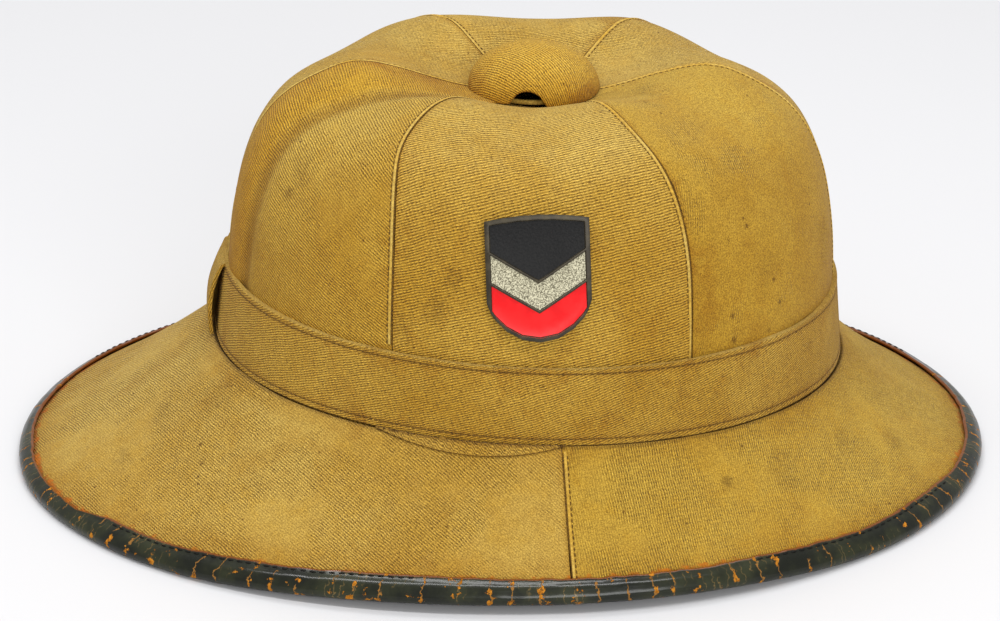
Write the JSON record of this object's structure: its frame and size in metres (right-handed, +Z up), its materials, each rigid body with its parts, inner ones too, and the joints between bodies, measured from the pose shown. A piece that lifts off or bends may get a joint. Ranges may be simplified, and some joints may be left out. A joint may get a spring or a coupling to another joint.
{
  "type": "pith helmet",
  "caption": "Cloth-covered sun helmet with a sewn panelled crown, vented top cap, hemmed band, small side shield and a sloping brim edged in worn leather.",
  "frame": {"origin": "middle of the bounding box on the surface that the helmet rests on", "axes": "+X to the front, -Y to the wearer's right side with the shield, +Z up"},
  "size_m": [0.348, 0.264, 0.1515],
  "materials": {
    "cloth": "worn ochre twill",
    "band_cloth": "worn ochre twill",
    "cap_cloth": "worn ochre twill",
    "leather_edge": "cracked dark green-grey leather with tan chips",
    "badge": "enamelled fields in a dark raised frame"
  },
  "bodies": {
    "root": {"crown_panel_front_left": "cloth", "crown_panel_left": "cloth", "crown_panel_rear_left": "cloth", "crown_panel_rear_right": "cloth", "crown_panel_right": "cloth", "crown_panel_front_right": "cloth", "vent_cap": "cap_cloth", "brim_front": "cloth", "brim_rear": "cloth", "brim_binding": "leather_edge", "hat_band": "band_cloth", "band_keeper": "band_cloth", "band_underlap": "band_cloth", "badge_shield": "badge"}
  },
  "joints": []
}
